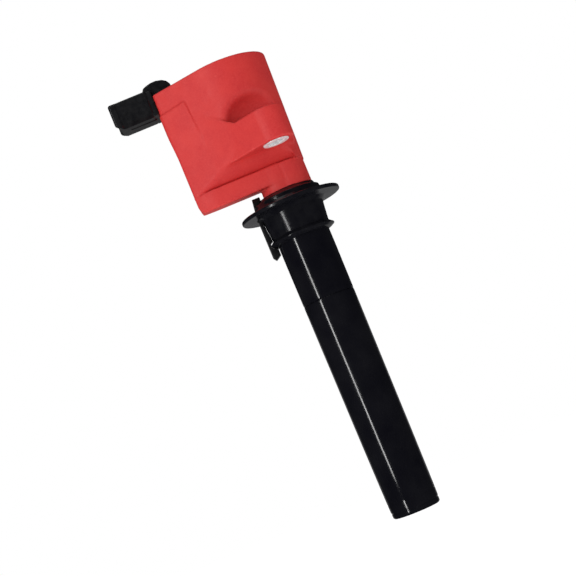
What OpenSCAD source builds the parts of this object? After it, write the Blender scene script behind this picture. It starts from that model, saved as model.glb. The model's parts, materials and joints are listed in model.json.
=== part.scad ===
// Coil-on-plug ignition coil: potted housing, connector, bolt lug, well seal and long plug boot.
// Origin at the centre of the boot mouth, +Z along the boot to the housing,
// connector toward -X, bolt lug toward -Y.

/* [Boot] */
// Height of the joint between the rubber plug boot and the stiff tube above it
seam_z = 87; // [80:0.5:92]
// Outer radius of the plug boot at its mouth
boot_mouth_r = 9.5; // [9:0.05:9.8]
// Outer radius of the boot where the two tubes meet
boot_seam_r = 10.2; // [10:0.05:10.3]
// Radius of the bore that grips the plug insulator
plug_bore_r = 5; // [4.6:0.05:5.4]
// Depth of the bore that grips the plug insulator
plug_bore_depth = 45; // [40:1:50]
// Radius of the chamber that holds the contact spring
chamber_r = 4.5; // [4.3:0.05:4.6]

/* [Well seal] */
// Underside of the seal disc
disc_z = 124.6; // [124:0.1:125.5]
// Radius of the seal disc
disc_r = 20; // [18:0.5:21]
// Thickness of the seal disc
disc_t = 1.6; // [1.2:0.1:1.8]
// Radius of the collar that hugs the housing neck
collar_r = 10.4; // [10.3:0.05:10.6]

/* [Housing] */
// Underside of the low block of the housing
floor_z = 133.8; // [133.5:0.1:134.5]
// Height of the open rim of the housing
rim_z = 184; // [181:0.5:186]
// Radius of the round end of the housing at the rim
round_r = 18.5; // [18:0.1:19]
// Centre of the round end of the housing
round_x = -5.5; // [-6:0.1:-5]
// Connector end of the housing
end_x = -33; // [-34:0.5:-32]
// Half width of the connector end of the housing
end_half = 8; // [7.5:0.1:8.5]
// Top of the low block, where the round body begins
ledge_z = 141; // [140.5:0.1:141.5]
// Half width of the low block
block_half = 9.2; // [9:0.1:9.6]
// Wall thickness of the housing
wall = 2; // [1.8:0.1:2.2]

/* [Bolt lug] */
// Height of the lug underside
lug_z = 146.4; // [146:0.1:148]
// Height of the lug from underside to seat
lug_t = 12.6; // [12:0.1:13]
// Bolt position along X
bolt_x = 3.6; // [3:0.1:4.5]
// Bolt position along Y
bolt_y = -20; // [-21:0.1:-19.5]
// Radius of the round lug end
lug_r = 7.3; // [7:0.1:7.6]
// Radius of the bolt hole in the compression bushing
bolt_hole_r = 3.25; // [3.1:0.05:3.4]
// Outer radius of the compression bushing
bushing_r = 5.1; // [4.9:0.05:5.3]

/* [Connector] */
// Outer end of the connector shroud
shroud_x = -50.5; // [-52:0.5:-49]
// Underside of the connector shroud
shroud_z = 176; // [175.6:0.1:176.4]
// Height of the connector shroud
shroud_h = 10.7; // [10.2:0.1:11]
// Width of the connector shroud
shroud_w = 16; // [15.5:0.5:17]

/* [Contact] */
// Underside of the plug contact at rest
contact_z = 47; // [46:0.5:48]
// Radius of the plug contact
contact_r = 3.9; // [3.8:0.05:4]
// Turns in the long contact spring
spring_turns = 14; // [10:1:16]

/* [Hidden] */
$fn = 64;

red = [0.84, 0.27, 0.27];
black = [0.09, 0.09, 0.1];
rubber = [0.05, 0.05, 0.06];
steel = [0.75, 0.76, 0.78];
brass = [0.8, 0.65, 0.35];
copper = [0.72, 0.42, 0.25];
core_grey = [0.42, 0.43, 0.45];
ivory = [0.86, 0.83, 0.72];
epoxy = [0.12, 0.1, 0.1];

// Housing levels
cavity_z = floor_z + 3.4;
bowl_z = 148;
neck_foot_z = 131;
neck_x = 1.35;
neck_r = 9.8;
tower_foot_z = 100;
tower_r = 7.5;
tower_bore_r = 4.5;
draft = 0.6;
lean = -0.5;

// Channel above the lug for the bolt head and its socket
channel_x = 3.3;
channel_y = -21.5;
channel_r = 9;
channel_straight = 5.5;
channel_slope = 6.5;

// Magnetic core, a closed frame round a centre leg in the XZ plane
core_lo = [-26.5, 142];
core_hi = [5.5, 176.5];
core_limb = 4.5;
core_stack = 8.5;
leg = 7;
leg_x = (core_lo.x + core_hi.x) / 2;
window_lo = core_lo.y + core_limb;
window_hi = core_hi.y - core_limb;
magnet_t = 1.5;
bobbin_lo = window_lo + 0.4;
bobbin_hi = window_hi - 0.4;
flange_t = 1.2;

// Connector blades and primary leads
blade_w = 2.7;
blade_t = 0.8;
blade_z = 180.9;
blade_y = 3;
blade_out = 11;
blade_back = 5.8;
blade_foot_z = 175;
lead_t = 0.8;
lead_y = 6.2;
lead_z = 177;
shroud_end = end_x - 1.9;
shroud_top = shroud_z + shroud_h;
shroud_wall = 1.6;
plug_neck_half = 5.4;
latch_half = 4;

// Round pieces in the tower and boot
cap_r = 3.6;
resistor_r = 2.9;
wire_r = 0.45;
coil_r = 3.05;
spring_lo = contact_z + 5;
spring_hi = 95;
stud_r = 2.4;
stud_h = 6;
cup_r = 3.2;
cup_h = 3;
resistor_lo = 96.1;
resistor_hi = 120.5;
cap_h = 4.5;
cap_t = 1;
terminal_r = tower_bore_r - 0.05;
terminal_z = 129;
diode_at = [2.8, 9.2, 150];

// Head of the stiff tube, and what grips it: seal hub, sleeve with its ring, and snap clip
tube_r = 10.35;
tube_foot_z = 76;
spigot_r = 7.9;
head_r = 8.2;
head_z = 119;
hub_r = 13.6;
hub_top_r = 13.3;
hub_z = 129.3;
skirt_r = 12.4;
skirt_z = disc_z - 1.6;
collar_h = 3.1;
sleeve_ring_r = 12.7;
sleeve_ring_z = 113.1;
clip_w = 4.6;
clip_gap = 0.3;
clip_back = -13.9;

// Points on an arc, angles in degrees
function arc(centre, radius, from, to, steps) =
    [for (i = [0:steps]) let (a = from + (to - from) * i / steps) centre + radius * [cos(a), sin(a)]];

// Corner at the connector end of an outline, inset by g
function end_corner(half, radius, g) =
    let (r = max(radius - g, 0.6))
    arc([end_x + g + r, r + g - half], r, 180, 260, 4);

// Half outline of the round body on the -Y side, from the connector end to the round end
function body_half(g) = concat(
    end_corner(end_half, 1.5, g),
    arc([round_x, 0], round_r - g, 246, 262, 4),
    arc([round_x, 0], round_r - g, 266, 356, 24)
);

// Half outline of the low block, pinched in at its sides, with as many points as the round body
function block_side(g, pinch) = concat(
    end_corner(block_half - pinch, 2, g),
    [for (i = [1:5]) [end_x + 5 + 4 * i, g + pinch - block_half]],
    arc([neck_x + neck_r - 0.4 - block_half + pinch, 0], block_half - pinch - g, 270, 356, 24)
);

// Closed ring of points at one height, from a half outline and its mirror image
function level(half, z, shift) = concat(
    [for (p = half) [p.x + shift, p.y, z]],
    [for (i = [len(half) - 1:-1:0]) [half[i].x + shift, -half[i].y, z]]
);

// Solid through a stack of rings with equal point counts, lowest first
module loft(rings) {
    n = len(rings[0]);
    top = (len(rings) - 1) * n;
    sides = [for (k = [0:len(rings) - 2], i = [0:n - 1]) let (j = (i + 1) % n)
        [k * n + i, (k + 1) * n + i, (k + 1) * n + j, k * n + j]];
    polyhedron([for (r = rings) each r], concat([[for (i = [0:n - 1]) i]], sides,
        [[for (i = [n - 1:-1:0]) top + i]]), convexity = 8);
}

// Round body, its bowl-shaped underside and the low block, inset by g
module body_shape(g, lo, hi) {
    loft([
        level(block_side(g + 2, 0), lo, 0),
        level(block_side(g, 0), lo + 2, 0),
        level(block_side(g, 0), ledge_z, 0),
        level(block_side(g, 1.2), ledge_z + 0.4, 0),
        level(body_half(g + draft), bowl_z, lean),
        level(body_half(g), hi, 0)
    ]);
}

module ring(r_out, r_in, lo, hi) {
    translate([0, 0, lo])
        difference() {
            cylinder(r = r_out, h = hi - lo);
            translate([0, 0, -1])
                cylinder(r = r_in, h = hi - lo + 2);
        }
}

module disc(radius, lo, hi) {
    translate([0, 0, lo])
        cylinder(r = radius, h = hi - lo);
}

// Lug arm and its round end
module lug_body() {
    translate([0, 0, lug_z])
        linear_extrude(lug_t)
            hull() {
                translate([bolt_x, bolt_y])
                    circle(r = lug_r, $fn = 48);
                translate([-16, -13])
                    square([24, 8]);
            }
}

// Clearance channel for the bolt head and socket, above the lug
module bolt_channel() {
    translate([channel_x, channel_y, lug_z + lug_t])
        rotate_extrude()
            polygon([
                [0, 0], [channel_r, 0], [channel_r, channel_straight],
                [2.5, channel_straight + channel_slope], [0, channel_straight + channel_slope]
            ]);
}

// Space inside the housing for the coil and its potting, with a flat wall behind the bolt channel
module cavity() {
    back_y = channel_y + channel_r + 1.8;
    difference() {
        body_shape(wall, cavity_z, rim_z + 1);
        translate([channel_x - channel_r + 0.4, back_y - 20, lug_z + lug_t - 1.8])
            cube([2 * channel_r + 8, 20, channel_straight + channel_slope + 2]);
    }
}

module housing() {
    color(red)
        difference() {
            union() {
                difference() {
                    body_shape(0, floor_z, rim_z);
                    bolt_channel();
                }
                lug_body();
                translate([neck_x, 0, neck_foot_z])
                    cylinder(r = neck_r, h = ledge_z - 1.5 - neck_foot_z);
                disc(tower_r, tower_foot_z, ledge_z - 2);
            }
            cavity();
            disc(tower_bore_r, tower_foot_z - 1, cavity_z + 1);
            translate([bolt_x, bolt_y, lug_z - 1])
                cylinder(r = bushing_r, h = lug_t + 2);
            translate([end_x - 2, -plug_neck_half - 0.1, shroud_z + 1.5])
                cube([8, 2 * plug_neck_half + 0.2, shroud_h]);
        }
}

module compression_bushing() {
    color(steel)
        translate([bolt_x, bolt_y, 0])
            ring(bushing_r, bolt_hole_r, lug_z - 0.3, lug_z + lug_t + 0.3);
}

module potting_compound() {
    color(epoxy)
        difference() {
            intersection() {
                cavity();
                translate([-40, -30, rim_z - 5.5])
                    cube([60, 60, 4.3]);
            }
            translate([end_x - 2, -9, shroud_z - 1])
                cube([9.5, 18, rim_z - shroud_z]);
        }
}

// Side profile of the shroud, cut off at its outer corners
module shroud_profile() {
    polygon([
        [shroud_x, shroud_z + 2], [shroud_x + 3.5, shroud_z], [shroud_end, shroud_z],
        [shroud_end, shroud_top], [shroud_x + 1.5, shroud_top], [shroud_x, shroud_top - 1.2]
    ]);
}

module connector_shroud() {
    socket_x = end_x - 3.5;
    socket_half = shroud_w / 2 - 1.5;
    color(black)
        difference() {
            union() {
                translate([0, shroud_w / 2, 0])
                    rotate([90, 0, 0])
                        linear_extrude(shroud_w)
                            shroud_profile();
                translate([shroud_end - 0.1, -plug_neck_half, shroud_z + 1.6])
                    cube([4.5, 2 * plug_neck_half, rim_z - shroud_z - 1.6]);
                translate([shroud_end - 0.1, 0.6 - shroud_w / 2, shroud_z + 0.3])
                    cube([end_x - shroud_end + 0.1, shroud_w - 1.2, shroud_h - 0.6]);
                latch_ramp();
            }
            translate([shroud_x - 1, -socket_half, shroud_z + shroud_wall])
                cube([socket_x - shroud_x + 1, 2 * socket_half, shroud_h - 2 * shroud_wall]);
            pin_slots();
        }
}

// Ramp over the rim of the housing, that the harness plug locks over
module latch_ramp() {
    translate([0, latch_half, 0])
        rotate([90, 0, 0])
            linear_extrude(2 * latch_half)
                polygon([
                    [-36.2, shroud_top - 0.5], [-36.2, 188.2], [-34.2, 189.6], [-30.5, 190],
                    [-26.5, 189.2], [-24.8, 187.4], [-24.8, rim_z + 0.1], [shroud_end, rim_z + 0.1]
                ]);
}

// Slots that the blades are pushed through
module pin_slots() {
    play = 0.05;
    for (y = [-blade_y, blade_y])
        translate([end_x - 4, y - blade_w / 2 - play, blade_z - play])
            cube([9, blade_w + 2 * play, blade_t + 2 * play]);
}

module terminal_carrier() {
    color(black)
        difference() {
            translate([end_x + 2.55, -5, shroud_z + 1.8])
                cube([2.2, 10, 4.5]);
            pin_slots();
        }
}

// Flat blade, bent down behind the carrier for the primary lead
module terminal_pin(y) {
    color(brass)
        union() {
            translate([end_x - blade_out, y - blade_w / 2, blade_z])
                cube([blade_out + blade_back, blade_w, blade_t]);
            translate([end_x + blade_back - blade_t, y - blade_w / 2, blade_foot_z])
                cube([blade_t, blade_w, blade_z + blade_t - blade_foot_z]);
        }
}

module terminal_pin_1() { terminal_pin(-blade_y); }

module terminal_pin_2() { terminal_pin(blade_y); }

// Lead from the back of a blade, beside the core, to a primary winding end
module primary_lead(side) {
    reach = lead_y - blade_y - blade_w / 2;
    foot_y = side > 0 ? lead_y - reach : -lead_y;
    color(copper)
        union() {
            translate([end_x + blade_back - blade_t, foot_y, lead_z - lead_t / 2])
                cube([blade_t, reach, lead_t]);
            translate([end_x + blade_back - blade_t, side * lead_y - lead_t / 2, lead_z - lead_t / 2])
                cube([leg_x - end_x - blade_back + blade_t, lead_t, lead_t]);
            translate([leg_x - lead_t, side * lead_y - lead_t / 2, bobbin_hi])
                cube([lead_t, lead_t, lead_z + lead_t / 2 - bobbin_hi]);
        }
}

module primary_lead_1() { primary_lead(-1); }

module primary_lead_2() { primary_lead(1); }

module outer_core() {
    color(core_grey)
        translate([0, core_stack / 2, 0])
            rotate([90, 0, 0])
                linear_extrude(core_stack)
                    difference() {
                        translate(core_lo)
                            square(core_hi - core_lo);
                        translate([core_lo.x + core_limb, window_lo])
                            square([core_hi.x - core_lo.x - 2 * core_limb, window_hi - window_lo]);
                    }
}

module centre_core() {
    color(core_grey)
        translate([leg_x - leg / 2, -leg / 2, window_lo + magnet_t])
            cube([leg, leg, window_hi - window_lo - magnet_t]);
}

module core_magnet() {
    color([0.3, 0.3, 0.32])
        translate([leg_x - leg / 2, -leg / 2, window_lo])
            cube([leg, leg, magnet_t]);
}

// Distance between the flanges of a spool with this many winding slots
function slot_pitch(slots) = (bobbin_hi - bobbin_lo - flange_t) / slots;

// Spool with end flanges, and dividers between its winding slots
module bobbin(bore_r, core_r, flange_r, slots) {
    pitch = slot_pitch(slots);
    translate([leg_x, 0, 0]) {
        ring(core_r, bore_r, bobbin_lo, bobbin_hi);
        for (i = [0:slots])
            ring(flange_r, bore_r, bobbin_lo + i * pitch, bobbin_lo + i * pitch + flange_t);
    }
}

// Turns that fill each slot of a spool
module winding(core_r, wound_r, slots) {
    pitch = slot_pitch(slots);
    translate([leg_x, 0, 0])
        for (i = [0:slots - 1])
            ring(wound_r, core_r, bobbin_lo + i * pitch + flange_t, bobbin_lo + (i + 1) * pitch);
}

module primary_bobbin() { color(black) bobbin(5.1, 5.8, 7.5, 1); }

module primary_winding() { color(copper) winding(5.8, 7.3, 1); }

module secondary_bobbin() { color(ivory) bobbin(7.7, 8.4, 11, 5); }

module secondary_winding() { color([0.62, 0.34, 0.2]) winding(8.4, 10.5, 5); }

// Diode between the secondary winding and the terminal in the tower
module hv_diode() {
    color(black)
        translate(diode_at)
            union() {
                translate([0, 0, 2])
                    cylinder(r = 1.5, h = 7, $fn = 32);
                cylinder(r = 0.35, h = 11, $fn = 16);
            }
}

// Terminal with a spigot for the short spring below it and a stem for the winding above it
module hv_terminal() {
    color(brass)
        union() {
            disc(terminal_r, terminal_z + 1.5, terminal_z + 4.5);
            disc(2, terminal_z + 4.5, terminal_z + 11);
            disc(1.8, terminal_z, terminal_z + 1.5);
        }
}

// Round wire wound as a helix between two heights, with flat closed end turns
module coil_spring(lo, hi, turns) {
    per_turn = 14;
    sides = 6;
    rings = turns * per_turn;
    rise = hi - lo - 2 * wire_r;
    closed = 0.12;
    function share(t) = t < 1 ? t * closed
        : t > turns - 1 ? 1 - (turns - t) * closed
        : closed + (t - 1) * (1 - 2 * closed) / (turns - 2);
    function ring_points(i) = let (t = i / per_turn, a = 360 * t, z = lo + wire_r + rise * share(t))
        [for (s = [0:sides - 1]) let (b = 360 * s / sides, r = coil_r + wire_r * cos(b))
            [r * cos(a), r * sin(a), z + wire_r * sin(b)]];
    points = [for (i = [0:rings]) each ring_points(i)];
    sides_faces = [for (i = [0:rings - 1], s = [0:sides - 1]) let (n = (s + 1) % sides)
        [i * sides + s, (i + 1) * sides + s, (i + 1) * sides + n, i * sides + n]];
    start_cap = [[for (s = [0:sides - 1]) s]];
    end_cap = [[for (s = [sides - 1:-1:0]) rings * sides + s]];
    polyhedron(points, concat(sides_faces, start_cap, end_cap), convexity = 10);
}

module resistor_spring() {
    color(steel)
        coil_spring(resistor_hi + 1.1, terminal_z + 1.4, 4);
}

// Metal cup pressed on an end of the resistor
module resistor_cap(lo, closed_high) {
    color(brass)
        difference() {
            disc(cap_r, lo, lo + cap_h);
            translate([0, 0, closed_high ? -cap_t : cap_t])
                disc(resistor_r, lo, lo + cap_h);
        }
}

module resistor_cap_upper() { resistor_cap(resistor_hi + cap_t - cap_h, true); }

module suppression_resistor() {
    color(ivory)
        disc(resistor_r, resistor_lo, resistor_hi);
}

module resistor_cap_lower() { resistor_cap(resistor_lo - cap_t, false); }

module contact_spring() {
    color(steel)
        coil_spring(spring_lo, spring_hi, spring_turns);
}

// Cap that rests on the plug terminal, with a stud inside the spring
module plug_contact() {
    color(brass)
        difference() {
            union() {
                disc(contact_r, contact_z, spring_lo);
                disc(stud_r, spring_lo, spring_lo + stud_h);
            }
            disc(cup_r, contact_z - 1, contact_z + cup_h);
        }
}

// Disc that closes the plug well, its hub, and the collar round the housing neck
module flange_seal() {
    top_z = disc_z + disc_t;
    color(rubber)
        difference() {
            union() {
                rotate_extrude($fn = 96)
                    polygon([
                        [head_r, skirt_z], [skirt_r, skirt_z], [hub_r, disc_z], [disc_r, disc_z],
                        [disc_r, top_z], [hub_r, top_z + 0.6], [hub_top_r, hub_z],
                        [hub_top_r - 2.1, hub_z + 1.3], [head_r, hub_z + 1.3]
                    ]);
                translate([neck_x, 0, hub_z - 0.3])
                    cylinder(r = collar_r, h = collar_h);
            }
            disc(head_r + 0.1, disc_z - 3, neck_foot_z);
            translate([neck_x, 0, neck_foot_z])
                cylinder(r = neck_r, h = collar_h + 1);
            clip_slot(clip_back + 3);
        }
}

// Opening for the retention clip, from outside the skirt in to x = inner
module clip_slot(inner) {
    back = clip_back - clip_gap;
    translate([back, -clip_w / 2 - clip_gap, sleeve_ring_z - 2])
        cube([inner - back, clip_w + 2 * clip_gap, 22]);
}

// Sleeve round the top of the tube, with a thin ring lip at its foot
module boot_sleeve() {
    color(rubber)
        difference() {
            rotate_extrude($fn = 96)
                polygon([
                    [tube_r, sleeve_ring_z - 0.7], [sleeve_ring_r, sleeve_ring_z],
                    [sleeve_ring_r, sleeve_ring_z + 1.1], [sleeve_ring_r - 1.4, sleeve_ring_z + 2.1],
                    [skirt_r - 0.05, skirt_z], [head_r, skirt_z], [head_r, head_z], [tube_r, head_z - 1]
                ]);
            clip_slot(clip_back + 1.3);
        }
}

// Snap arm from the neck through the seal, with a hook at its foot
module retention_clip() {
    color(black)
        translate([0, clip_w / 2, 0])
            rotate([90, 0, 0])
                linear_extrude(clip_w)
                    polygon([
                        [clip_back, 108.4], [-12.6, 107.9], [-10.8, 109.5], [-10.8, 112], [-12.7, 112.6],
                        [-12.7, 126.6], [-12.1, 127.2], [-11.2, 131.2], [-10, 132.4], [-10.2, 133.2],
                        [-12.2, 133.2], [-13.4, 131.8], [clip_back, 126]
                    ]);
}

// Stiff tube: head inside the seal, long skirt, and spigot that the boot is moulded round
module boot_tube() {
    color(rubber)
        rotate_extrude($fn = 96)
            polygon([
                [chamber_r, tube_foot_z], [spigot_r, tube_foot_z], [spigot_r, seam_z], [boot_seam_r, seam_z],
                [tube_r, 106], [tube_r, head_z - 1], [head_r, head_z], [head_r, disc_z + 4],
                [tower_r, disc_z + 4], [tower_r, tower_foot_z], [chamber_r, tower_foot_z]
            ]);
}

// Rubber boot with a fine bead at its mouth
module plug_boot() {
    bead = 0.12;
    color(rubber)
        rotate_extrude($fn = 96)
            polygon([
                [plug_bore_r, 0], [boot_mouth_r - 0.45, 0], [boot_mouth_r, 0.5], [boot_mouth_r, 1.6],
                [boot_mouth_r - bead, 1.8], [boot_mouth_r - bead, 2.4], [boot_mouth_r + 0.05, 2.6],
                [9.85, 30], [10.05, 60], [boot_seam_r, seam_z], [spigot_r, seam_z], [spigot_r, tube_foot_z],
                [chamber_r, tube_foot_z], [chamber_r, plug_bore_depth + 1], [plug_bore_r, plug_bore_depth]
            ]);
}

housing();
compression_bushing();
potting_compound();
connector_shroud();
terminal_carrier();
terminal_pin_1();
terminal_pin_2();
primary_lead_1();
primary_lead_2();
outer_core();
centre_core();
core_magnet();
primary_bobbin();
primary_winding();
secondary_bobbin();
secondary_winding();
hv_diode();
hv_terminal();
resistor_spring();
resistor_cap_upper();
suppression_resistor();
resistor_cap_lower();
contact_spring();
plug_contact();
flange_seal();
boot_sleeve();
retention_clip();
boot_tube();
plug_boot();
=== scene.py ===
"""Looks of the coil-on-plug ignition coil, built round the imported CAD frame.

Shapes are worked out in millimetres and turned into metres when a mesh is made.
Moulded pieces are distance fields meshed with rounded edges; round pieces are turned profiles.
"""

import json
import math

import bmesh
import bpy
import numpy as np
from mathutils import Matrix, Vector


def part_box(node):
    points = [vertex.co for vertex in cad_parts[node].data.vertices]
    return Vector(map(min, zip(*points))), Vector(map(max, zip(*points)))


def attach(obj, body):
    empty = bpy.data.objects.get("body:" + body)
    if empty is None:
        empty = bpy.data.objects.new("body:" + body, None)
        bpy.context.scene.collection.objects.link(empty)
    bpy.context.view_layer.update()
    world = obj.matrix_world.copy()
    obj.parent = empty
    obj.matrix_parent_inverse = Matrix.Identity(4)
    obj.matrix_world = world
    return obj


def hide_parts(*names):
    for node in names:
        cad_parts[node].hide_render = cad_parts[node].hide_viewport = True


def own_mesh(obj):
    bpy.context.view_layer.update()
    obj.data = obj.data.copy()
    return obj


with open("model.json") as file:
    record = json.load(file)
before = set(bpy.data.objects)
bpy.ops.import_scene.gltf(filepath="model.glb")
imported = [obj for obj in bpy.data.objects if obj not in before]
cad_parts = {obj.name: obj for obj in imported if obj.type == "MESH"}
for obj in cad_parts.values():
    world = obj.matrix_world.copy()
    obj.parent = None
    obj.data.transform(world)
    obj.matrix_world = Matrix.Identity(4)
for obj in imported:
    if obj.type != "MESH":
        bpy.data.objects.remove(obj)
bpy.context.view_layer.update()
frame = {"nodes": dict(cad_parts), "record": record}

MM = 0.001
COIL = "coil"
CONTACT = "contact"


def span(node):
    """Lowest and highest corner of a CAD node, in millimetres."""
    lo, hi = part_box(node)
    return np.array(lo) / MM, np.array(hi) / MM


HOUSING_LO, HOUSING_HI = span("housing")
BUSHING_LO, BUSHING_HI = span("compression_bushing")
SHROUD_LO, SHROUD_HI = span("connector_shroud")
SEAL_HI = span("flange_seal")[1]
SLEEVE_HI = span("boot_sleeve")[1]
TUBE_HI = span("boot_tube")[1]
BOOT_LO, BOOT_HI = span("plug_boot")
CLIP_HI = span("retention_clip")[1]
POT_LO, POT_HI = span("potting_compound")
BOLT = (BUSHING_LO + BUSHING_HI) / 2
BORE_R = 4.5
TOWER_R = 7.5
TOWER_FOOT = 100
SPIGOT_FOOT = 76
HEAD_R = 8.2
BOLT_HOLE_R = 3.25
FINE_RING = 160

# ---------------------------------------------------------------- distance fields


def round_max(a, b, r):
    """Intersection of two fields with a rounded edge of radius r."""
    u = np.maximum(a + r, 0)
    v = np.maximum(b + r, 0)
    return np.minimum(-r, np.maximum(a, b)) + np.sqrt(u * u + v * v)


def round_min(a, b, r):
    """Union of two fields with a filleted corner of radius r."""
    return -round_max(-a, -b, r)


def soft_min(a, b, k):
    """Union that melts the two surfaces together over a width k."""
    h = np.clip(0.5 + 0.5 * (b - a) / k, 0, 1)
    return b + (a - b) * h - k * h * (1 - h)


def soft_max(a, b, k):
    return -soft_min(-a, -b, k)


def smooth_step(a, b, t):
    s = np.clip((t - a) / (b - a), 0, 1)
    return s * s * (3 - 2 * s)


def slab(t, lo, hi):
    """Distance outside the range from lo to hi."""
    return np.maximum(lo - t, t - hi)


def box_field(x, y, z, lo, hi, r):
    """Box with edges rounded to radius r."""
    c = [(lo[i] + hi[i]) / 2 for i in range(3)]
    q = [np.abs(t - c[i]) - (hi[i] - lo[i]) / 2 + r for i, t in enumerate((x, y, z))]
    outside = np.sqrt(sum(np.maximum(t, 0) ** 2 for t in q))
    return outside + np.minimum(np.maximum(np.maximum(q[0], q[1]), q[2]), 0) - r


def arc(cx, cy, r, a0, a1, n):
    """Points on an arc, angles in degrees."""
    return [
        (cx + r * math.cos(math.radians(a)), cy + r * math.sin(math.radians(a)))
        for a in np.linspace(a0, a1, n)
    ]


class Plan:
    """Signed distance to a closed outline, looked up from a fine grid."""

    def __init__(self, points, margin=8.0, step=0.2):
        p = np.array(points, float)
        self.lo = p.min(0) - margin
        self.step = step
        n = np.ceil((p.max(0) + margin - self.lo) / step).astype(int) + 1
        gx, gy = np.meshgrid(*(self.lo[i] + step * np.arange(n[i]) for i in (0, 1)), indexing="ij")
        best = np.full(gx.shape, 1e9)
        inside = np.zeros(gx.shape, bool)
        for a, b in zip(p, np.roll(p, -1, 0)):
            e = b - a
            wx, wy = gx - a[0], gy - a[1]
            t = np.clip((wx * e[0] + wy * e[1]) / (e @ e), 0, 1)
            best = np.minimum(best, (wx - t * e[0]) ** 2 + (wy - t * e[1]) ** 2)
            crosses = (a[1] > gy) != (b[1] > gy)
            with np.errstate(divide="ignore", invalid="ignore"):
                edge_x = a[0] + (gy - a[1]) * e[0] / e[1] if e[1] else np.zeros_like(gy)
            inside ^= crosses & (gx < edge_x)
        self.table = np.where(inside, -1, 1) * np.sqrt(best)

    def __call__(self, x, y):
        fx = np.clip((x - self.lo[0]) / self.step, 0, self.table.shape[0] - 1.001)
        fy = np.clip((y - self.lo[1]) / self.step, 0, self.table.shape[1] - 1.001)
        i, j = fx.astype(int), fy.astype(int)
        u, v = fx - i, fy - j
        t = self.table
        return (
            t[i, j] * (1 - u) * (1 - v)
            + t[i + 1, j] * u * (1 - v)
            + t[i, j + 1] * (1 - u) * v
            + t[i + 1, j + 1] * u * v
        )


def sample(field, lo, hi, step):
    """Values of a field on a grid between two corners."""
    axes = [np.arange(lo[i], hi[i] + step, step) for i in range(3)]
    shape = tuple(len(a) for a in axes)
    f = np.empty(shape, np.float32)
    for k in range(0, shape[2], 16):
        grid = np.meshgrid(axes[0], axes[1], axes[2][k : k + 16], indexing="ij")
        f[:, :, k : k + 16] = field(*grid)
    f[f == 0] = 1e-6
    return f


def surface_cells(inside):
    """Grid cells that the surface crosses, and a table from cell to vertex number."""
    shape = inside.shape
    count = np.zeros(tuple(n - 1 for n in shape), np.uint8)
    for dx in (0, 1):
        for dy in (0, 1):
            for dz in (0, 1):
                corner = tuple(slice(d, n - 1 + d) for d, n in zip((dx, dy, dz), shape))
                count += inside[corner]
    active = (count > 0) & (count < 8)
    index = np.full(active.shape, -1, np.int64)
    index[active] = np.arange(active.sum())
    return np.argwhere(active), index


def cell_points(f, cells):
    """Mean of the surface crossings on each cell's edges, in grid units."""
    total = np.zeros((len(cells), 3))
    hits = np.zeros(len(cells))
    for axis in range(3):
        unit = np.eye(3, dtype=int)[axis]
        others = [i for i in range(3) if i != axis]
        for o1 in (0, 1):
            for o2 in (0, 1):
                start = cells.copy()
                start[:, others[0]] += o1
                start[:, others[1]] += o2
                fa = f[tuple(start.T)]
                fb = f[tuple((start + unit).T)]
                cross = (fa < 0) != (fb < 0)
                t = fa[cross] / (fa[cross] - fb[cross])
                total[cross] += start[cross] + t[:, None] * unit
                hits[cross] += 1
    return total / hits[:, None]


def surface_quads(inside, index):
    """One quad round each grid edge that the surface crosses, facing out."""
    shape = inside.shape
    quads = []
    for axis in range(3):
        others = [i for i in range(3) if i != axis]
        low = [slice(None)] * 3
        high = [slice(None)] * 3
        low[axis] = slice(0, -1)
        high[axis] = slice(1, None)
        edges = np.argwhere(inside[tuple(low)] != inside[tuple(high)])
        keep = np.ones(len(edges), bool)
        for o in others:
            keep &= (edges[:, o] > 0) & (edges[:, o] < shape[o] - 1)
        edges = edges[keep]
        ring = []
        for o1, o2 in ((-1, -1), (0, -1), (0, 0), (-1, 0)):
            cell = edges.copy()
            cell[:, others[0]] += o1
            cell[:, others[1]] += o2
            ring.append(index[tuple(cell.T)])
        quad = np.stack(ring, 1)
        solid_low = inside[tuple(edges.T)]
        flip = solid_low if axis == 1 else ~solid_low
        quad[flip] = quad[flip][:, ::-1]
        quads.append(quad)
    return np.concatenate(quads)


def surface_net(field, lo, hi, step):
    """Vertices and quads of a field's zero surface between two corners."""
    f = sample(field, lo, hi, step)
    inside = f < 0
    cells, index = surface_cells(inside)
    verts = np.array(lo) + step * cell_points(f, cells)
    return verts, surface_quads(inside, index)


def settle(verts, field, reach, rounds=3):
    """Moves vertices on to the field's true surface."""
    e = 0.02
    for _ in range(rounds):
        x, y, z = verts.T
        f = field(x, y, z)
        g = np.stack([field(x + e, y, z) - f, field(x, y + e, z) - f, field(x, y, z + e) - f], 1) / e
        move = g * (f / np.maximum((g * g).sum(1), 0.05))[:, None]
        verts = verts - np.clip(move, -reach, reach)
    return verts


# ---------------------------------------------------------------- mesh building


def add_object(name, verts, faces, sharp=35):
    """Mesh object from vertices in millimetres, smooth except across edges sharper than the angle."""
    mesh = bpy.data.meshes.new(name)
    points = [tuple(v) for v in np.array(verts) * MM]
    mesh.from_pydata(points, [], [tuple(int(i) for i in f) for f in faces])
    mesh.validate()
    mesh.shade_smooth()
    if sharp:
        mesh.set_sharp_from_angle(angle=math.radians(sharp))
    obj = bpy.data.objects.new(name, mesh)
    bpy.context.scene.collection.objects.link(obj)
    return obj


def moulded(name, field, lo, hi, step):
    """Piece from a distance field."""
    verts, quads = surface_net(field, lo, hi, step)
    return add_object(name, settle(verts, field, step / 2), quads, sharp=50)


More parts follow.
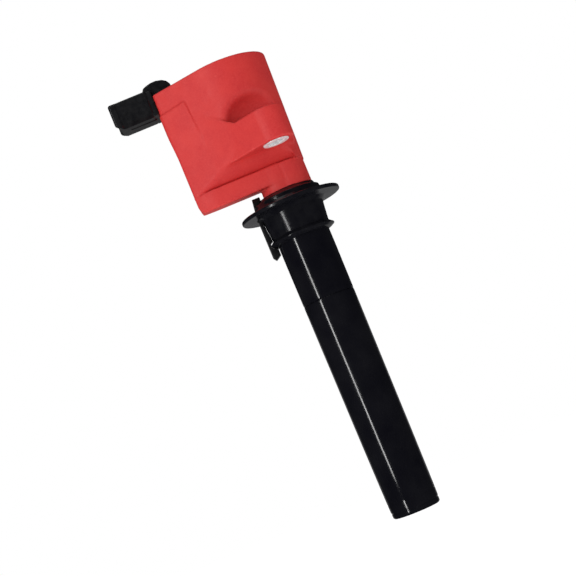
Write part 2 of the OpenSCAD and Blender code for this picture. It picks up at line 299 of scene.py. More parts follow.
def rounded_profile(points, steps=4):
    """Closed profile of (r, z, corner radius) points with each corner turned into an arc."""
    out = []
    n = len(points)
    for i in range(n):
        p = np.array(points[i][:2], float)
        radius = points[i][2] if len(points[i]) > 2 else 0
        a = np.array(points[i - 1][:2], float) - p
        b = np.array(points[(i + 1) % n][:2], float) - p
        la, lb = np.linalg.norm(a), np.linalg.norm(b)
        a, b = a / la, b / lb
        half = math.acos(max(-1, min(1, float(a @ b)))) / 2
        if radius <= 0 or half > math.radians(88):
            out.append(tuple(p))
            continue
        cut = min(radius / math.tan(half), la * 0.48, lb * 0.48)
        for t in np.linspace(0, 1, steps + 1):
            out.append(tuple(p + a * cut * (1 - t) ** 2 + b * cut * t**2))
    return out


def turned(name, profile, segments=128, centre=(0, 0), sharp=30):
    """Ring piece from a closed (r, z) profile."""
    pts = np.array(profile)
    n = len(pts)
    angles = np.linspace(0, 2 * math.pi, segments, endpoint=False)
    verts = [
        (centre[0] + r * math.cos(t), centre[1] + r * math.sin(t), z) for t in angles for r, z in pts
    ]
    faces = []
    for i in range(segments):
        j = (i + 1) % segments
        for k in range(n):
            m = (k + 1) % n
            faces.append((i * n + k, j * n + k, j * n + m, i * n + m))
    obj = add_object(name, verts, faces, sharp)
    fix_normals(obj, sharp)
    return obj


def smooth(obj, sharp):
    """Smooth shading except across edges sharper than the angle."""
    obj.data.shade_smooth()
    obj.data.set_sharp_from_angle(angle=math.radians(sharp))


def fix_normals(obj, sharp):
    """Makes all faces look outward."""
    bm = bmesh.new()
    bm.from_mesh(obj.data)
    bmesh.ops.recalc_face_normals(bm, faces=bm.faces)
    bm.to_mesh(obj.data)
    bm.free()
    smooth(obj, sharp)


def cut(obj, *cutters):
    """Cuts the cutters out of an object and removes them."""
    for c in cutters:
        m = obj.modifiers.new("cut", "BOOLEAN")
        m.operation = "DIFFERENCE"
        m.solver = "EXACT"
        m.object = c
    apply_modifiers(obj)
    for c in cutters:
        bpy.data.objects.remove(c)


def apply_modifiers(obj):
    deps = bpy.context.evaluated_depsgraph_get()
    mesh = bpy.data.meshes.new_from_object(obj.evaluated_get(deps))
    obj.modifiers.clear()
    obj.data = mesh


def bevel(obj, width, segments=3, angle=30):
    """Rounds the edges of a piece, then applies it."""
    m = obj.modifiers.new("bevel", "BEVEL")
    m.width = width * MM
    m.segments = segments
    m.limit_method = "ANGLE"
    m.angle_limit = math.radians(angle)
    apply_modifiers(obj)
    smooth(obj, 40)


def block(name, lo, hi):
    """Plain box, used as a cutter or as the start of a bevelled piece."""
    (x0, y0, z0), (x1, y1, z1) = lo, hi
    verts = [(x, y, z) for z in (z0, z1) for y in (y0, y1) for x in (x0, x1)]
    faces = [(0, 2, 3, 1), (4, 5, 7, 6), (0, 1, 5, 4), (2, 6, 7, 3), (0, 4, 6, 2), (1, 3, 7, 5)]
    return add_object(name, verts, faces, 0)


def prism(name, outline, y0, y1):
    """Outline in XZ carried from y0 to y1."""
    n = len(outline)
    verts = [(x, y, z) for y in (y0, y1) for x, z in outline]
    faces = [tuple(range(n)), tuple(range(2 * n - 1, n - 1, -1))]
    faces += [(i, n + i, n + (i + 1) % n, (i + 1) % n) for i in range(n)]
    obj = add_object(name, verts, faces, 0)
    fix_normals(obj, 30)
    return obj


def helix(name, lo, hi, radius, wire, turns, per_turn=40, sides=12):
    """Round-wire compression spring with closed end turns."""
    rings = int(turns * per_turn)
    rise = hi - lo - 2 * wire
    verts = []
    for i in range(rings + 1):
        t = i / per_turn
        a = 2 * math.pi * t
        if t < 1:
            level = t * 0.12
        elif t > turns - 1:
            level = 1 - (turns - t) * 0.12
        else:
            level = 0.12 + (t - 1) * 0.76 / (turns - 2)
        z = lo + wire + rise * level
        for s in range(sides):
            b = 2 * math.pi * s / sides
            r = radius + wire * math.cos(b)
            verts.append((r * math.cos(a), r * math.sin(a), z + wire * math.sin(b)))
    faces = []
    for i in range(rings):
        for s in range(sides):
            n = (s + 1) % sides
            faces.append((i * sides + s, (i + 1) * sides + s, (i + 1) * sides + n, i * sides + n))
    faces.append(tuple(range(sides)))
    faces.append(tuple(rings * sides + s for s in range(sides - 1, -1, -1)))
    obj = add_object(name, verts, faces, 40)
    fix_normals(obj, 40)
    return obj


# ---------------------------------------------------------------- materials


class Look:
    """A material under construction: its shader and short ways to add nodes."""

    def __init__(self, name, color, roughness, metallic=0.0, **sockets):
        self.material = bpy.data.materials.new(name)
        self.material.use_nodes = True
        self.tree = self.material.node_tree
        self.shader = self.tree.nodes["Principled BSDF"]
        self.shader.inputs["Base Color"].default_value = (*color, 1)
        self.shader.inputs["Roughness"].default_value = roughness
        self.shader.inputs["Metallic"].default_value = metallic
        for key, value in sockets.items():
            self.shader.inputs[key.replace("_", " ")].default_value = value
        self.coord = self.tree.nodes.new("ShaderNodeTexCoord").outputs["Object"]

    def noise(self, size_mm, detail=3.0, stretch=(1, 1, 1)):
        """Noise whose grains are about size_mm across."""
        mapping = self.tree.nodes.new("ShaderNodeMapping")
        mapping.inputs["Scale"].default_value = stretch
        self.tree.links.new(self.coord, mapping.inputs["Vector"])
        node = self.tree.nodes.new("ShaderNodeTexNoise")
        node.inputs["Scale"].default_value = 1000 / size_mm
        node.inputs["Detail"].default_value = detail
        self.tree.links.new(mapping.outputs["Vector"], node.inputs["Vector"])
        return node.outputs["Fac"]

    def ramp(self, source, low, high, a, b):
        """Maps source from the range low..high to the range a..b."""
        node = self.tree.nodes.new("ShaderNodeMapRange")
        node.inputs["From Min"].default_value = low
        node.inputs["From Max"].default_value = high
        node.inputs["To Min"].default_value = a
        node.inputs["To Max"].default_value = b
        self.tree.links.new(source, node.inputs["Value"])
        return node.outputs["Result"]

    def tint(self, factor, low, high):
        """Colour between low and high by factor."""
        node = self.tree.nodes.new("ShaderNodeMix")
        node.data_type = "RGBA"
        node.inputs["A"].default_value = (*low, 1)
        node.inputs["B"].default_value = (*high, 1)
        self.tree.links.new(factor, node.inputs["Factor"])
        return node.outputs["Result"]

    def over(self, factor, under, high):
        """Lays colour high over the colour socket under, by factor."""
        node = self.tree.nodes.new("ShaderNodeMix")
        node.data_type = "RGBA"
        node.inputs["B"].default_value = (*high, 1)
        self.tree.links.new(under, node.inputs["A"])
        self.tree.links.new(factor, node.inputs["Factor"])
        return node.outputs["Result"]

    def mottle(self, size_mm, detail, low, high):
        """Soft patches of two colours."""
        return self.tint(self.ramp(self.noise(size_mm, detail), 0.35, 0.65, 0, 1), low, high)

    def color(self, socket):
        self.tree.links.new(socket, self.shader.inputs["Base Color"])

    def rough(self, socket):
        self.tree.links.new(socket, self.shader.inputs["Roughness"])

    def bump(self, height, distance_mm, strength=1.0):
        """Adds a bump layer under any earlier one."""
        node = self.tree.nodes.new("ShaderNodeBump")
        node.inputs["Distance"].default_value = distance_mm * MM
        node.inputs["Strength"].default_value = strength
        self.tree.links.new(height, node.inputs["Height"])
        previous = self.shader.inputs["Normal"].links
        if previous:
            self.tree.links.new(previous[0].from_socket, node.inputs["Normal"])
        self.tree.links.new(node.outputs["Normal"], self.shader.inputs["Normal"])

    def edges(self, low=0.52, high=0.62):
        """1 along outer edges, 0 elsewhere."""
        node = self.tree.nodes.new("ShaderNodeNewGeometry")
        return self.ramp(node.outputs["Pointiness"], low, high, 0, 1)


def red_plastic():
    look = Look("red_housing", (0.57, 0.028, 0.026), 0.42, Specular_IOR_Level=0.35)
    mottled = look.mottle(7, 4, (0.55, 0.024, 0.025), (0.60, 0.031, 0.028))
    grain = look.ramp(look.noise(0.7, 3), 0.35, 0.65, 0, 0.5)
    mottled = look.over(grain, mottled, (0.62, 0.042, 0.038))
    speck = look.ramp(look.noise(0.35, 2), 0.6, 0.72, 0, 0.5)
    worn = look.ramp(look.edges(), 0, 1, 0, 0.18)
    look.color(look.over(worn, look.over(speck, mottled, (0.66, 0.055, 0.05)), (0.72, 0.11, 0.10)))
    look.rough(look.ramp(look.noise(2.5, 3), 0.3, 0.7, 0.44, 0.58))
    look.bump(look.noise(0.35, 3), 0.03)
    look.bump(look.noise(5, 2), 0.05)
    return look.material


def black_plastic():
    look = Look("black_plastic", (0.012, 0.012, 0.014), 0.38, Specular_IOR_Level=0.3)
    look.color(look.mottle(3, 3, (0.005, 0.005, 0.006), (0.009, 0.009, 0.010)))
    look.rough(look.ramp(look.noise(1.5, 3), 0.3, 0.7, 0.26, 0.4))
    look.bump(look.noise(0.18, 2), 0.01)
    return look.material


def gloss_black():
    look = Look("gloss_black", (0.006, 0.006, 0.008), 0.2)
    look.color(look.mottle(12, 4, (0.003, 0.003, 0.005), (0.006, 0.006, 0.008)))
    look.rough(look.ramp(look.noise(4, 4, (1, 1, 0.3)), 0.3, 0.7, 0.09, 0.15))
    look.bump(look.noise(9, 2, (1, 1, 0.35)), 0.012)
    look.bump(look.noise(0.4, 2), 0.002)
    return look.material


def black_rubber():
    look = Look("black_rubber", (0.009, 0.009, 0.011), 0.3, Specular_IOR_Level=0.4)
    look.color(look.mottle(4, 4, (0.004, 0.004, 0.006), (0.008, 0.008, 0.010)))
    look.rough(look.ramp(look.noise(2, 3), 0.3, 0.7, 0.12, 0.2))
    look.bump(look.noise(0.3, 3), 0.01)
    return look.material


def metal(name, low, high, roughness, grain_mm=0.15, stretch=(1, 1, 0.05), metallic=1.0):
    """Metal with fine drawn or turned lines."""
    look = Look(name, low, roughness, metallic)
    look.color(look.mottle(1.5, 4, low, high))
    look.rough(look.ramp(look.noise(grain_mm, 3, stretch), 0.3, 0.7, roughness * 0.75, roughness * 1.3))
    look.bump(look.noise(grain_mm, 3, stretch), 0.004)
    return look.material


def epoxy():
    look = Look("epoxy", (0.012, 0.011, 0.012), 0.12)
    look.color(look.mottle(5, 4, (0.010, 0.010, 0.011), (0.020, 0.018, 0.018)))
    look.rough(look.ramp(look.noise(3, 4), 0.3, 0.7, 0.08, 0.2))
    look.bump(look.noise(6, 3), 0.15)
    return look.material


def winding_wire():
    """Enamelled copper with the lines of its turns."""
    look = Look("enamelled_copper", (0.5, 0.2, 0.08), 0.3, 0.9)
    look.color(look.tint(look.noise(0.25, 2, (0.04, 0.04, 1)), (0.42, 0.15, 0.06), (0.62, 0.28, 0.12)))
    look.bump(look.noise(0.25, 1, (0.04, 0.04, 1)), 0.04)
    return look.material


def laminations():
    """Stacked sheet steel, with the lines of its sheets across Y."""
    look = Look("core_steel", (0.25, 0.25, 0.26), 0.45, 0.9)
    sheets = look.noise(0.4, 0, (0.02, 1, 0.02))
    look.color(look.tint(look.ramp(sheets, 0.4, 0.6, 0, 1), (0.16, 0.16, 0.17), (0.34, 0.34, 0.36)))
    look.bump(sheets, 0.05)
    return look.material


def ceramic(name="ceramic", low=(0.62, 0.56, 0.44), high=(0.72, 0.67, 0.55), roughness=0.25):
    look = Look(name, low, roughness)
    look.color(look.mottle(1.2, 4, low, high))
    look.rough(look.ramp(look.noise(0.8, 3), 0.3, 0.7, roughness * 0.8, roughness * 1.3))
    look.bump(look.noise(0.3, 2), 0.006)
    return look.material


MATERIALS = {
    "red_housing": red_plastic(),
    "plated_steel": metal(
        "plated_steel", (0.84, 0.85, 0.86), (0.92, 0.93, 0.94), 0.35, 0.2, (1, 1, 1), 0.35
    ),
    "epoxy": epoxy(),
    "black_plastic": black_plastic(),
    "tinned_brass": metal(
        "tinned_brass", (0.66, 0.66, 0.63), (0.76, 0.75, 0.72), 0.25, 0.2, (0.05, 1, 1)
    ),
    "enamelled_copper": winding_wire(),
    "core_steel": laminations(),
    "magnet": ceramic("magnet", (0.09, 0.09, 0.1), (0.13, 0.13, 0.14), 0.6),
    "ivory_plastic": ceramic("ivory_plastic", (0.6, 0.56, 0.44), (0.66, 0.62, 0.5), 0.42),
    "brass": metal("brass", (0.62, 0.44, 0.16), (0.74, 0.55, 0.24), 0.25, 0.15, (0.1, 0.1, 1)),
    "spring_steel": metal(
        "spring_steel", (0.42, 0.42, 0.44), (0.56, 0.56, 0.58), 0.25, 0.1, (1, 1, 1)
    ),
    "ceramic": ceramic(),
    "black_rubber": black_rubber(),
    "gloss_black": gloss_black(),
}

NODE_SLOTS = {s["node"]: s["material_slot"] for s in frame["record"]["subparts"]}


def paint(obj, slot):
    obj.data.materials.clear()
    obj.data.materials.append(MATERIALS[slot])


def finish_piece(obj, node, body=COIL):
    """Gives a new piece its material and its body, and hides the CAD node it stands for."""
    paint(obj, NODE_SLOTS[node])
    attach(obj, body)
    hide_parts(node)
    return obj


# ---------------------------------------------------------------- housing

RIM = HOUSING_HI[2]
END_X = HOUSING_LO[0]
ROUND_R = HOUSING_HI[1]
ROUND_X = HOUSING_HI[0] - ROUND_R
END_HALF = 8.0
WALL = 2.0
FLOOR = 133.8
LEDGE = 141.0
BLOCK_HALF = 9.6
NECK_X = 1.35
NECK_R = 9.8
NECK_FOOT = 131.0
DRAFT_SPAN = 35.0
LUG_LO = BUSHING_LO[2] + 0.3
LUG_HI = BUSHING_HI[2] - 0.3
LUG_R = BOLT[1] - HOUSING_LO[1]
BUSHING_R = BUSHING_HI[0] - BOLT[0]
SHELL_STEP = 0.4


def housing_outline():
    """Plan of the round body at the rim, as a closed outline."""
    half = arc(END_X + 1.8, 1.8 - END_HALF, 1.8, 180, 246, 6)
    half += arc(ROUND_X, 0, ROUND_R, 246, 358, 70)
    return half + [(x, -y) for x, y in reversed(half)]


def lug_plan_outline():
    """Plan of the bolt lug: its round end and the arm that runs into the body."""
    bx, by = BOLT[0], BOLT[1]
    return arc(bx, by, LUG_R, 238, 352, 40) + [(bx + LUG_R - 0.2, -8), (-16, -8), (-19.5, -12.3)]


body_plan = Plan(housing_outline())
lug_plan = Plan(lug_plan_outline())


def body_side(x, y, z, inset=0.0):
    """Side wall of the body with its draft."""
    t = np.clip((RIM - z) / DRAFT_SPAN, 0, 1.45)
    return body_plan(x + 0.5 * t, y) + 0.58 * t + inset


def raised_panel(x, y, z):
    """Height of the raised panel on the side walls near the connector."""
    edge_x = -22.4 + 0.08 * (175.5 - z)
    top = smooth_step(175.9, 175.3, z - 0.05 * (x + 27))
    right = smooth_step(0.35, -0.35, x - edge_x)
    fade = smooth_step(156, 168, z)
    return 0.55 * top * right * fade * (np.abs(y) > 6)


def scoop(x, y, z):
    """Scooped hollow for the bolt head and its socket, above the lug."""
    q = np.abs((x - 8) / 20) ** 2.5 + np.abs((y + 22.5) / 12) ** 2.5 + np.abs((z - 158) / 11.6) ** 2.5
    return round_max((q**0.4 - 1) * 11.6, LUG_HI - z, 0.4)


def neck_column(x, y, z):
    """Oval neck under the round end, with a shallow groove down its front and back."""
    plan = round_max(np.abs(x - NECK_X) - NECK_R, np.abs(y) - NECK_R, 7.5)
    plan = plan + 0.25 * np.exp(-(((x - NECK_X) / 1.1) ** 2))
    return round_max(plan, slab(z, NECK_FOOT, LEDGE), 0.4)


def housing_solid(x, y, z):
    side = body_side(x, y, z) - raised_panel(x, y, z)
    rib = smooth_step(7.9, 8.7, x) + smooth_step(END_X + 2.0, END_X + 1.2, x)
    half_width = 7.6 + 8 * rib + 10.5 * np.clip((z - LEDGE) / 9.5, 0, 2) ** 0.8
    body = soft_max(side, np.abs(y) - half_width, 1.6)
    body = soft_max(body, -scoop(x, y, z), 1.8)
    body = np.maximum(body, LEDGE - 0.5 - z)
    body = round_max(body, z - RIM, 0.5)
    low = round_max(soft_max(side, np.abs(y) - BLOCK_HALF, 1.5), z - LEDGE, 0.35)
    low = round_max(low, x - NECK_X, 0.5)
    low = round_max(low, FLOOR + 0.12 * (y + BLOCK_HALF) - z, 0.8)
    low = np.maximum(low, round_max(END_X + 0.1 - x, FLOOR - z, 3.8))
    low = round_min(low, neck_column(x, y, z), 0.6)
    body = round_min(body, low, 0.4)
    gusset = 0.8 * np.maximum(-8 - x, 0)
    lug = round_max(lug_plan(x, y), np.maximum(LUG_LO - z, z - LUG_HI - gusset), 0.5)
    return soft_min(body, lug, 1.5)


def housing_cavity(x, y, z):
    """Inside space: the body less its wall, with a flat wall behind the bolt channel."""
    side = body_side(x, y, z, WALL)
    half_width = 6.8 + 10.5 * np.clip((z - LEDGE - 2) / 8.5, 0, 2)
    inner = np.maximum(side, np.abs(y) - half_width)
    inner = np.maximum(inner, WALL - scoop(x, y, z))
    lug = np.maximum(lug_plan(x, y), slab(z, LUG_LO, LUG_HI))
    inner = np.maximum(inner, WALL - lug)
    return round_max(inner, FLOOR + 3.4 - z, 0.5)


def housing_field(x, y, z):
    f = housing_solid(x, y, z)
    f = round_max(f, -housing_cavity(x, y, z), 0.35)
    bore = np.sqrt((x - BOLT[0]) ** 2 + (y - BOLT[1]) ** 2) - BUSHING_R
    bore = np.maximum(bore, slab(z, LUG_LO - 2, LUG_HI + 2))
    f = round_max(f, -bore, 0.25)
    tower = np.maximum(np.sqrt(x * x + y * y) - BORE_R, z - FLOOR - 5)
    f = np.maximum(f, -tower)
    opening = box_field(
        x, y, z, (END_X - 4, -5.4, SHROUD_BOTTOM + 1.6), (END_X + 6, 5.4, RIM - 1.2), 0.3
    )
    return np.maximum(f, -opening)


def make_housing():
    margin = 1.0
    lo = (END_X - margin, HOUSING_LO[1] - margin, NECK_FOOT - margin)
    hi = (HOUSING_HI[0] + margin, HOUSING_HI[1] + margin, RIM + margin)
    finish_piece(moulded("housing_shell", housing_field, lo, hi, SHELL_STEP), "housing")
    tower = turned(
        "coil_tower",
        rounded_profile([
            (BORE_R, TOWER_FOOT, 0.3), (TOWER_R, TOWER_FOOT, 0.6),
            (TOWER_R, NECK_FOOT + 0.3), (BORE_R, NECK_FOOT + 0.3),
        ]),
    )
    finish_piece(tower, "housing")


def make_bushing():
    lo, hi, r = BUSHING_LO[2], BUSHING_HI[2], BUSHING_R - 0.02
    finish_piece(
        turned(
            "bolt_bushing",
            rounded_profile([
                (BOLT_HOLE_R, lo, 0.35), (r, lo, 0.3), (r, hi, 0.3), (BOLT_HOLE_R, hi, 0.35),
            ]),
            96,
            (BOLT[0], BOLT[1]),
        ),
        "compression_bushing",
    )


def potting_field(x, y, z):
    """Cast epoxy that creeps up the walls at its edge."""
    side = body_side(x, y, z, WALL + 0.02)
    keep_out = box_field(x, y, z, (END_X - 2, -9, 170), (END_X + 7.6, 9, 190), 0.6)
    side = np.maximum(side, -keep_out)
    rise = 0.9 * np.exp(-np.maximum(-side, 0) / 0.9)
    return np.maximum(np.maximum(side, z - (POT_HI[2] - 1.3 + rise)), POT_LO[2] - z)


def make_potting():
    lo, hi = POT_LO - 1, POT_HI + 1
    potting = moulded("potting_fill", potting_field, lo, hi, SHELL_STEP)
    finish_piece(potting, "potting_compound")


# ---------------------------------------------------------------- connector

NOSE_X = SHROUD_LO[0]
SHROUD_BOTTOM = SHROUD_LO[2]
SHROUD_TOP = SHROUD_BOTTOM + 10.7
SHROUD_HALF = SHROUD_HI[1]
SHROUD_BACK = END_X - 1.9


latch_side = Plan(
    [
        (-36.0, 186), (-36.0, 187.9), (-35.4, 188.8), (-33.9, 189.4), (-32, 189.85),
        (-29.8, 189.9), (-27.4, 189.3), (-25.9, 188.3), (-25.0, 186.9), (-24.85, 185.4),
        (-24.85, 183.15), (-34.8, 183.15), (-35, 186),
    ],
    3,
    0.05,
)


def latch_field(x, y, z):
    """Ramp over the rim, with two grooves along it and a lock step at its front."""
    ramp = round_max(latch_side(x, z), np.abs(y) - 4, 0.5)
    groove = np.abs(np.abs(y) - 2.1) - 0.45
    return round_max(ramp, -np.maximum(groove, 188.9 - z), 0.15)


def shroud_outer(x, y, z):
    """Outside of the shroud, with a lip round its mouth and a cut lower nose."""
    half = SHROUD_HALF - 0.25 * smooth_step(NOSE_X + 2.6, NOSE_X + 3.0, x)
    low = SHROUD_BOTTOM + 0.25 * smooth_step(NOSE_X + 2.6, NOSE_X + 3.0, x)
    f = round_max(np.abs(y) - half, np.maximum(low - z, z - SHROUD_TOP), 0.8)
    step = (low + 1.3 - z) * 0.8 + (np.abs(y) - half) * 0.6
    f = round_max(f, step, 0.4)
    f = round_max(f, slab(x, NOSE_X, SHROUD_BACK), 0.9)
    nose = (NOSE_X + 3.2 - x) * 0.53 + (SHROUD_BOTTOM - z) * 0.85
    f = round_max(f, nose, 0.4)
    rib = box_field(
        x, y, z, (NOSE_X + 5, -1.6, SHROUD_BOTTOM + 0.05), (SHROUD_BACK, 1.6, SHROUD_BOTTOM + 1), 0.2
    )
    return round_min(f, rib, 0.3)


def connector_field(x, y, z):
    f = shroud_outer(x, y, z)
    seat = box_field(
        x, y, z, (SHROUD_BACK - 0.5, -7.2, SHROUD_BOTTOM + 0.5), (END_X - 0.05, 7.2, SHROUD_TOP - 0.3), 0.5
    )
    neck = box_field(
        x, y, z, (SHROUD_BACK - 0.5, -5.3, SHROUD_BOTTOM + 1.7), (END_X + 2.4, 5.3, RIM - 1.3), 0.3
    )
    f = round_min(np.minimum(f, seat), neck, 0.3)
    f = round_min(f, latch_field(x, y, z), 0.5)
    socket = box_field(
        x, y, z, (NOSE_X - 3, -6.5, SHROUD_BOTTOM + 1.6), (END_X - 3.5, 6.5, SHROUD_TOP - 1.6), 1.0
    )
    f = round_max(f, -socket, 0.35)
    key = box_field(x, y, z, (NOSE_X + 1, -1.2, SHROUD_TOP - 2.4), (END_X - 3, 1.2, SHROUD_TOP - 0.8), 0.3)
    return round_min(f, key, 0.3)


def make_connector():
    lo = np.array(SHROUD_LO) - 0.8
    hi = np.array([-24.0, SHROUD_HI[1] + 0.8, SHROUD_HI[2] + 0.8])
    step = 0.28
    finish_piece(moulded("connector_body", connector_field, lo, hi, step), "connector_shroud")


# ---------------------------------------------------------------- seal, boot and clip

DISC_Z = SLEEVE_HI[2] + 1.6
DISC_T = 1.6
DISC_R = SEAL_HI[0]
CLIP_HALF = CLIP_HI[1]
CLIP_PLAY = 0.3
CLIP_OUTER_X = -14.2


def clip_slot(lo_z, hi_z, inner_x):
    """Cutter for the clip's opening, from outside the clip in to inner_x."""
    half = CLIP_HALF + CLIP_PLAY
    return block("slot", (CLIP_OUTER_X, -half, lo_z), (inner_x, half, hi_z))


def make_seal():
    """Seal disc with its hub, and the collar that grips the oval neck."""
    disc = turned(
        "well_seal",
        rounded_profile([
            (8.3, DISC_Z - 1.6), (12.4, DISC_Z - 1.6, 0.4), (13.7, DISC_Z - 0.1, 0.8),
            (19.0, DISC_Z + 0.05), (DISC_R, DISC_Z, 0.6), (DISC_R, DISC_Z + DISC_T, 0.6),
            (14.2, DISC_Z + DISC_T + 0.1, 0.8), (13.4, DISC_Z + 3.4, 0.6), (13.2, 129.4, 0.5),
            (11.4, 130.5, 0.8), (10.9, 131.0, 0.4), (8.3, 131.0),
        ]),
        FINE_RING,
    )
    cut(disc, clip_slot(DISC_Z - 4, DISC_Z + 8, -11.0))
    smooth(disc, 35)
    finish_piece(disc, "flange_seal")
    collar = turned(
        "neck_collar",
        rounded_profile([
            (NECK_R - 1, 129.5), (10.35, 129.5), (10.4, 130.8, 0.3), (10.1, 131.3, 0.2),
            (NECK_R - 1, 131.3, 0.1),
        ]),
        128,
        (NECK_X, 0),
    )
    finish_piece(collar, "flange_seal")


def make_sleeve():
    sleeve = turned(
        "well_sleeve",
        rounded_profile([
            (10.36, 112.0, 0.2), (11.9, 112.5, 0.6), (13.15, 113.2, 0.15), (13.15, 113.5, 0.15),
            (11.45, 114.9, 0.8), (11.9, 119.5, 3), (12.32, DISC_Z - 1.6), (HEAD_R, DISC_Z - 1.6),
            (HEAD_R, 119), (10.36, 118),
        ]),
        FINE_RING,
    )
    cut(sleeve, clip_slot(111, 131, -12.6))
    smooth(sleeve, 35)
    finish_piece(sleeve, "boot_sleeve")


def make_clip():
    outline = [
        (-13.9, 109.2), (-12.9, 107.9), (-10.6, 109.4), (-10.6, 112.0), (-12.65, 112.4),
        (-12.65, 114.8),
        (-11.55, 115.3), (-11.98, 119.5), (-12.38, 122.95), (-11.1, 123.6), (-11.1, 131.15),
        (-9.9, 131.15), (-9.9, 132.9), (-13.0, 132.9), (-13.3, 130.6), (-13.9, 126),
    ]
    clip = prism("snap_clip", outline, -CLIP_HALF, CLIP_HALF)
    bevel(clip, 0.2, 2)
    finish_piece(clip, "retention_clip")


SEAM = BOOT_HI[2]
PLUG_R = 5.0


def make_tubes():
    """Stiff upper tube and rubber boot, with a fine seam where they meet."""
    upper = turned(
        "upper_tube",
        rounded_profile([
            (BORE_R, SPIGOT_FOOT, 0.2), (7.88, SPIGOT_FOOT, 0.4), (7.88, SEAM + 0.05),
            (10.12, SEAM + 0.05, 0.15), (10.22, SEAM + 0.6, 0.2), (10.3, 98), (10.35, 106),
            (10.35, 118), (HEAD_R, 119), (HEAD_R, TUBE_HI[2]), (TOWER_R, TUBE_HI[2]),
            (TOWER_R, TOWER_FOOT), (BORE_R, TOWER_FOOT),
        ]),
        FINE_RING,
    )
    finish_piece(upper, "boot_tube")
    lower = turned(
        "spark_plug_boot",
        rounded_profile([
            (PLUG_R, 0, 0.5), (8.9, 0, 0.35), (9.42, 0.5, 0.4), (9.5, 1.7, 0.25),
            (9.36, 1.95, 0.1), (9.36, 2.35, 0.1), (9.55, 2.6, 0.2), (9.62, 5.6),
            (9.56, 5.9, 0.1), (9.64, 6.2), (9.87, 30), (10.05, 60), (10.18, 80),
            (10.22, SEAM - 0.6, 0.2), (10.12, SEAM - 0.05, 0.15), (7.92, SEAM - 0.05),
            (7.92, SPIGOT_FOOT), (BORE_R, SPIGOT_FOOT), (BORE_R, 46), (PLUG_R, 45),
        ]),
        FINE_RING,
    )
    finish_piece(lower, "plug_boot")


# ---------------------------------------------------------------- inside the boot


SPRING_R = 3.05
WIRE_R = 0.44


def make_springs():
    """Long spring on the plug contact's stem, and the short one above the resistor."""
    lo, hi = span("contact_spring")
    spring = helix("boot_spring", lo[2], hi[2], SPRING_R, WIRE_R, 14)
    finish_piece(spring, "contact_spring")
    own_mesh(spring)
    lo, hi = span("resistor_spring")
    finish_piece(helix("short_spring", lo[2], hi[2], SPRING_R, WIRE_R, 4), "resistor_spring")


def make_plug_contact():
    """Cup that rests on the spark plug, with a stem inside the long spring."""
    lo, hi = span("plug_contact")
    cap = turned(
        "plug_cap",
        rounded_profile([
            (0.01, lo[2] + 3), (3.2, lo[2] + 3, 0.4), (3.2, lo[2], 0.2), (3.88, lo[2], 0.3),
            (3.88, lo[2] + 4.98, 0.4), (2.35, lo[2] + 5, 0.2), (2.35, hi[2], 0.6), (0.01, hi[2]),
        ]),
        64,
    )
    finish_piece(cap, "plug_contact", CONTACT)


def make_resistor_caps():
    """Pressed cups on both ends of the resistor."""
    for node, closed_high in (("resistor_cap_upper", True), ("resistor_cap_lower", False)):
        lo, hi = span(node)
        a, b = (lo[2], hi[2]) if closed_high else (hi[2], lo[2])
        step = 1.0 if closed_high else -1.0
        profile = rounded_profile([
            (2.92, a, 0.2), (3.58, a, 0.2), (3.58, b, 0.5), (0.01, b), (0.01, b - step),
            (2.92, b - step),
        ])
        finish_piece(turned(node.replace("resistor", "end"), profile, 64), node)


def make_blades():
    """Terminal blades with tapered tips."""
    for node in ("terminal_pin_1", "terminal_pin_2"):
        lo, hi = span(node)
        z0, z1 = hi[2] - 0.8, hi[2]
        tip = lo[0]
        outline = [
            (tip, z0 + 0.25), (tip + 0.9, z0), (hi[0] - 0.8, z0), (hi[0] - 0.8, lo[2]),
            (hi[0], lo[2]), (hi[0], z1), (tip + 0.9, z1), (tip, z1 - 0.25),
        ]
        blade = prism(node.replace("terminal_pin", "blade"), outline, lo[1], hi[1])
        bevel(blade, 0.12, 2)
        finish_piece(blade, node)


make_housing()
make_bushing()
make_potting()
make_connector()
make_seal()
make_sleeve()
make_clip()
make_tubes()
make_springs()
make_plug_contact()
make_resistor_caps()
make_blades()

for name, obj in frame["nodes"].items():
    paint(obj, NODE_SLOTS[name])

# ---------------------------------------------------------------- stage, light and camera


FLOOR_GAP = 1.2  # the coil hangs by its lug, clear of the floor


def make_floor():
    size = 20.0
    mesh = bpy.data.meshes.new("floor")
    corners = [(-size, -size, 0), (size, -size, 0), (size, size, 0), (-size, size, 0)]
    mesh.from_pydata(corners, [], [(0, 1, 2, 3)])
    floor = bpy.data.objects.new("floor", mesh)
    floor.location.z = BOOT_LO[2] * MM - FLOOR_GAP
    look = Look("pale_floor", (0.93, 0.93, 0.93), 0.7, Emission_Color=(1, 1, 1, 1), Emission_Strength=0.85)
    look.color(look.tint(look.noise(60, 2), (0.92, 0.92, 0.92), (0.94, 0.94, 0.94)))
    mesh.materials.append(look.material)
    bpy.context.scene.collection.objects.link(floor)
    floor.visible_glossy = False


def area_light(name, direction, distance, size, power, aim=(-0.01, 0, 0.12)):
    """Rectangular soft light that looks at the object from a direction (azimuth, elevation)."""
    az, el = (math.radians(a) for a in direction)
    where = Vector((math.sin(az) * math.cos(el), -math.cos(az) * math.cos(el), math.sin(el)))
    light = bpy.data.lights.new(name, "AREA")
    light.shape = "RECTANGLE"
    light.size, light.size_y = size
    light.energy = power
    obj = bpy.data.objects.new(name, light)
    obj.location = Vector(aim) + where * distance
    obj.rotation_euler = (-where).to_track_quat("-Z", "Y").to_euler()
    obj.visible_camera = False
    bpy.context.scene.collection.objects.link(obj)
    return obj


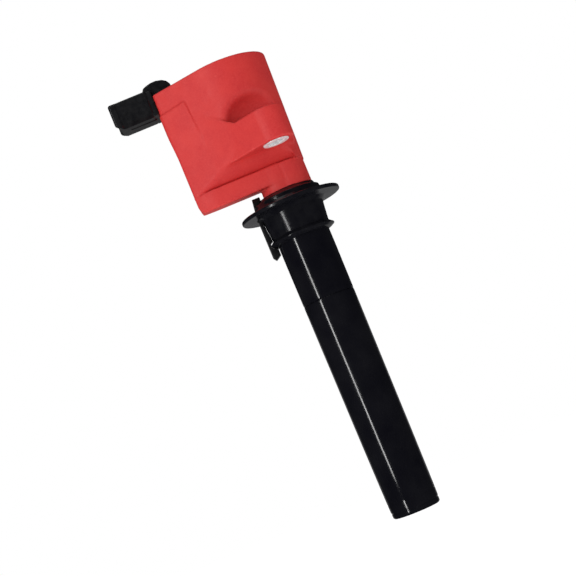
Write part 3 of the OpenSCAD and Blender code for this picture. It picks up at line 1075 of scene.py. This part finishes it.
def make_world():
    """White to the camera and to diffuse light, dark grey in reflections."""
    world = bpy.data.worlds.new("studio")
    world.use_nodes = True
    tree = world.node_tree
    background = tree.nodes["Background"]
    background.inputs["Color"].default_value = (1, 1, 1, 1)
    background.inputs["Strength"].default_value = 0.28
    bright = tree.nodes.new("ShaderNodeBackground")
    bright.inputs["Color"].default_value = (1, 1, 1, 1)
    bright.inputs["Strength"].default_value = 1.0
    dark = tree.nodes.new("ShaderNodeBackground")
    dark.inputs["Color"].default_value = (0.02, 0.02, 0.022, 1)
    path = tree.nodes.new("ShaderNodeLightPath")
    first = tree.nodes.new("ShaderNodeMixShader")
    second = tree.nodes.new("ShaderNodeMixShader")
    tree.links.new(path.outputs["Is Glossy Ray"], first.inputs[0])
    tree.links.new(background.outputs[0], first.inputs[1])
    tree.links.new(dark.outputs[0], first.inputs[2])
    tree.links.new(path.outputs["Is Camera Ray"], second.inputs[0])
    tree.links.new(first.outputs[0], second.inputs[1])
    tree.links.new(bright.outputs[0], second.inputs[2])
    tree.links.new(second.outputs[0], tree.nodes["World Output"].inputs["Surface"])
    bpy.context.scene.world = world


def make_camera(place, pitch, roll, lens, shift):
    """Camera facing +Y, tilted up by pitch, with the object's top leaning left by roll (degrees)."""
    el, ro = math.radians(pitch), math.radians(roll)
    away = Vector((0, -math.cos(el), -math.sin(el)))
    right = Vector((1, 0, 0))
    up = Vector((0, -math.sin(el), math.cos(el)))
    x = right * math.cos(ro) - up * math.sin(ro)
    y = right * math.sin(ro) + up * math.cos(ro)
    data = bpy.data.cameras.new("camera")
    data.lens = lens
    data.sensor_width = 36
    data.shift_x = -shift * math.sin(ro)
    data.shift_y = shift * math.cos(ro)
    data.clip_start = 0.01
    camera = bpy.data.objects.new("camera", data)
    turn = Matrix((x, y, away)).transposed()
    camera.matrix_world = Matrix.Translation(Vector(place)) @ turn.to_4x4()
    bpy.context.scene.collection.objects.link(camera)
    bpy.context.scene.camera = camera


make_floor()
make_world()
area_light("key_strip", (-40, 6), 1.3, (0.10, 1.1), 5)
area_light("left_fill", (-18, 28), 1.6, (1.2, 1.0), 4.3).visible_glossy = False
area_light("right_fill", (38, 5), 1.6, (1.0, 1.0), 2.4).visible_glossy = False
area_light("top_soft", (-20, 70), 1.4, (1.0, 1.0), 3)
area_light("low_back", (178, -15), 0.8, (1.2, 0.5), 0.3)
make_camera((-0.013, -0.52, 0.0421), 4.5, 22.45, 85.4, 0.061)

scene = bpy.context.scene
scene.view_settings.view_transform = "Standard"
